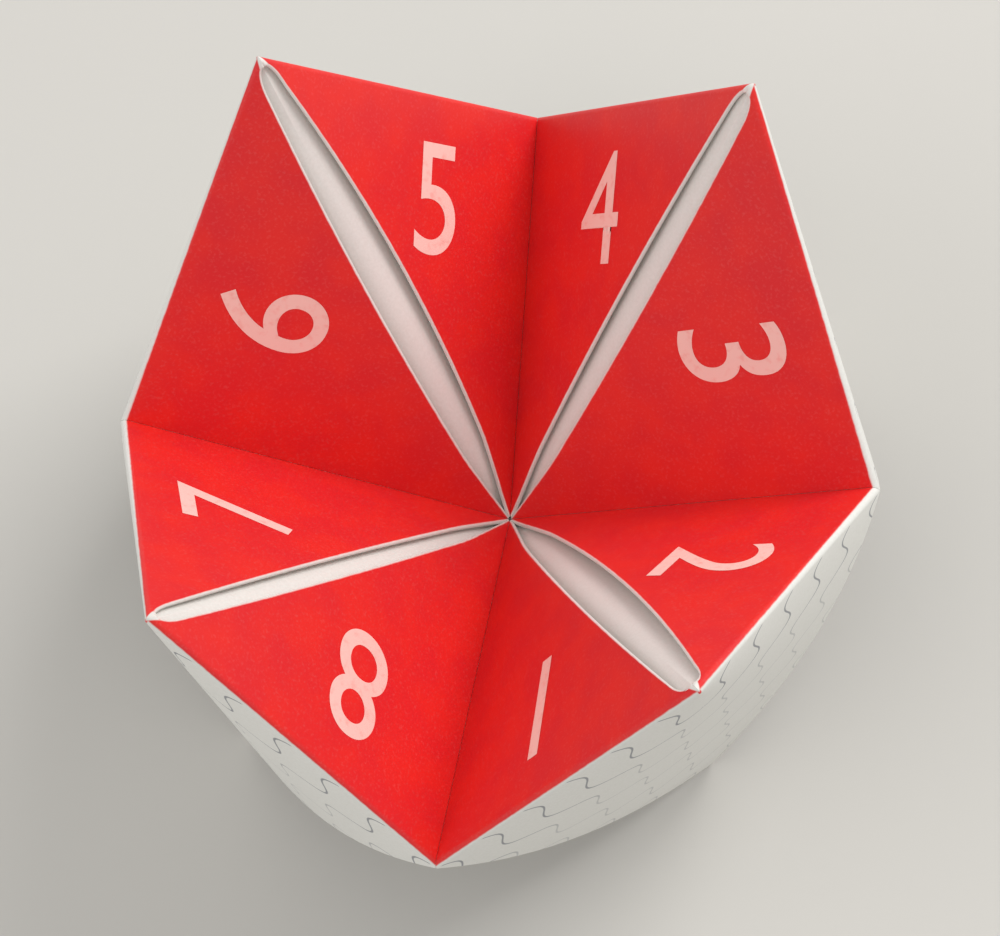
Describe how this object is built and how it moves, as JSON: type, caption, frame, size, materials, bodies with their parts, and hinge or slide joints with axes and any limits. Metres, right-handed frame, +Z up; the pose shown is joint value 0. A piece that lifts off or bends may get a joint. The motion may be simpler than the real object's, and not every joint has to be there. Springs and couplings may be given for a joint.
{
  "type": "paper fortune teller",
  "caption": "Square paper sheet folded into an opened finger game: inner flaps form a mouth, and a pocket under each peak takes a finger or thumb.",
  "frame": {"origin": "under the middle of the part's bounding box, on the surface that it stands on", "axes": "+Z up, with the mouth opening upward; -Y to the front; +X to the right; the four peaks stand along the diagonals"},
  "size_m": [0.0978, 0.103, 0.0774],
  "materials": {
    "paper": "uncoated white paper, printed red on the inner flaps"
  },
  "bodies": {
    "root": {"folded_sheet": "paper"}
  },
  "joints": []
}
